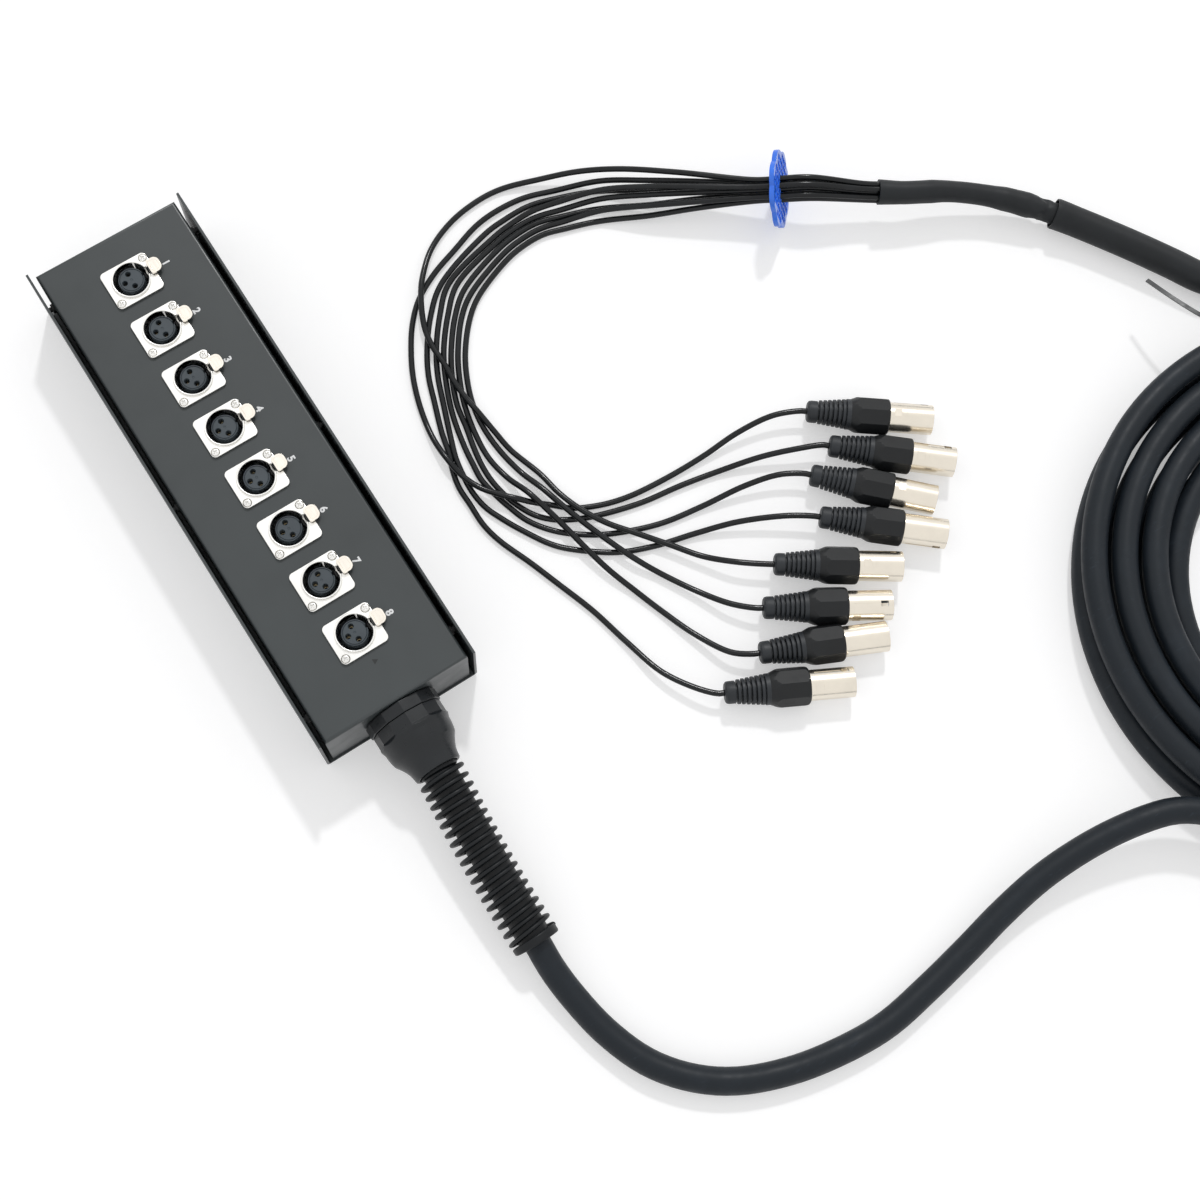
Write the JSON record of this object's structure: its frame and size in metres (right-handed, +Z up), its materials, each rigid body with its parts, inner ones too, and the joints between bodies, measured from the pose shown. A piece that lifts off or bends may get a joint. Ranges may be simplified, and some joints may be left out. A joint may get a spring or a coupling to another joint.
{
  "type": "stage box snake",
  "caption": "Stage box with a row of latching panel sockets, a coiled multicore cable from a gland, and a fan-out of thin cords with male cable plugs held by a comb.",
  "frame": {"origin": "middle of the tray's underside, on the surface that the box stands on", "axes": "+X along the box toward the gland, +Y across the box toward the latch tabs, +Z up out of the sockets"},
  "size_m": [0.7709, 0.7745, 0.0565],
  "materials": {
    "black_paint": "satin black powder paint",
    "nickel": "bright nickel plate",
    "slate": "matt",
    "tab_metal": "bright nickel plate",
    "gland_black": "semi-gloss",
    "relief_rubber": "matt",
    "trunk_rubber": "matt, slightly blue",
    "shrink_tube": "matt",
    "comb_blue": "satin",
    "tie_black": "satin",
    "cord_black": "semi-gloss",
    "plug_black": "matt",
    "shell_metal": "satin nickel"
  },
  "bodies": {
    "snake": {"base_tray": "black_paint", "top_cover": "black_paint", "socket_flange_1": "nickel", "socket_insert_1": "slate", "socket_flange_2": "nickel", "socket_insert_2": "slate", "socket_flange_3": "nickel", "socket_insert_3": "slate", "socket_flange_4": "nickel", "socket_insert_4": "slate", "socket_flange_5": "nickel", "socket_insert_5": "slate", "socket_flange_6": "nickel", "socket_insert_6": "slate", "socket_flange_7": "nickel", "socket_insert_7": "slate", "socket_flange_8": "nickel", "socket_insert_8": "slate", "gland_body": "gland_black", "gland_cap": "gland_black", "bend_relief": "relief_rubber", "trunk_lead": "trunk_rubber", "trunk_coil": "trunk_rubber", "trunk_tail": "trunk_rubber", "large_shrink_sleeve": "shrink_tube", "small_shrink_sleeve": "shrink_tube", "cable_comb": "comb_blue", "coil_tie": "tie_black", "fanout_cord_1": "cord_black", "plug_body_1": "plug_black", "plug_shell_1": "shell_metal", "fanout_cord_2": "cord_black", "plug_body_2": "plug_black", "plug_shell_2": "shell_metal", "fanout_cord_3": "cord_black", "plug_body_3": "plug_black", "plug_shell_3": "shell_metal", "fanout_cord_4": "cord_black", "plug_body_4": "plug_black", "plug_shell_4": "shell_metal", "fanout_cord_5": "cord_black", "plug_body_5": "plug_black", "plug_shell_5": "shell_metal", "fanout_cord_6": "cord_black", "plug_body_6": "plug_black", "plug_shell_6": "shell_metal", "fanout_cord_7": "cord_black", "plug_body_7": "plug_black", "plug_shell_7": "shell_metal", "fanout_cord_8": "cord_black", "plug_body_8": "plug_black", "plug_shell_8": "shell_metal"},
    "tab_1": {"latch_tab_1": "tab_metal"},
    "tab_2": {"latch_tab_2": "tab_metal"},
    "tab_3": {"latch_tab_3": "tab_metal"},
    "tab_4": {"latch_tab_4": "tab_metal"},
    "tab_5": {"latch_tab_5": "tab_metal"},
    "tab_6": {"latch_tab_6": "tab_metal"},
    "tab_7": {"latch_tab_7": "tab_metal"},
    "tab_8": {"latch_tab_8": "tab_metal"}
  },
  "joints": [
    {"name": "tab_1_press", "type": "hinge", "parent": "snake", "child": "tab_1", "pos_m": [-0.1367, 0.01365, 0.0553], "axis": [-1, 0, 0], "range_deg": [0, 8], "stiffness_Nm_per_rad": 0.14},
    {"name": "tab_2_press", "type": "hinge", "parent": "snake", "child": "tab_2", "pos_m": [-0.0995, 0.01365, 0.0553], "axis": [-1, 0, 0], "range_deg": [0, 8], "stiffness_Nm_per_rad": 0.14},
    {"name": "tab_3_press", "type": "hinge", "parent": "snake", "child": "tab_3", "pos_m": [-0.0623, 0.01365, 0.0553], "axis": [-1, 0, 0], "range_deg": [0, 8], "stiffness_Nm_per_rad": 0.14},
    {"name": "tab_4_press", "type": "hinge", "parent": "snake", "child": "tab_4", "pos_m": [-0.0251, 0.01365, 0.0553], "axis": [-1, 0, 0], "range_deg": [0, 8], "stiffness_Nm_per_rad": 0.14},
    {"name": "tab_5_press", "type": "hinge", "parent": "snake", "child": "tab_5", "pos_m": [0.0121, 0.01365, 0.0553], "axis": [-1, 0, 0], "range_deg": [0, 8], "stiffness_Nm_per_rad": 0.14},
    {"name": "tab_6_press", "type": "hinge", "parent": "snake", "child": "tab_6", "pos_m": [0.0493, 0.01365, 0.0553], "axis": [-1, 0, 0], "range_deg": [0, 8], "stiffness_Nm_per_rad": 0.14},
    {"name": "tab_7_press", "type": "hinge", "parent": "snake", "child": "tab_7", "pos_m": [0.0865, 0.01365, 0.0553], "axis": [-1, 0, 0], "range_deg": [0, 8], "stiffness_Nm_per_rad": 0.14},
    {"name": "tab_8_press", "type": "hinge", "parent": "snake", "child": "tab_8", "pos_m": [0.1237, 0.01365, 0.0553], "axis": [-1, 0, 0], "range_deg": [0, 8], "stiffness_Nm_per_rad": 0.14}
  ]
}
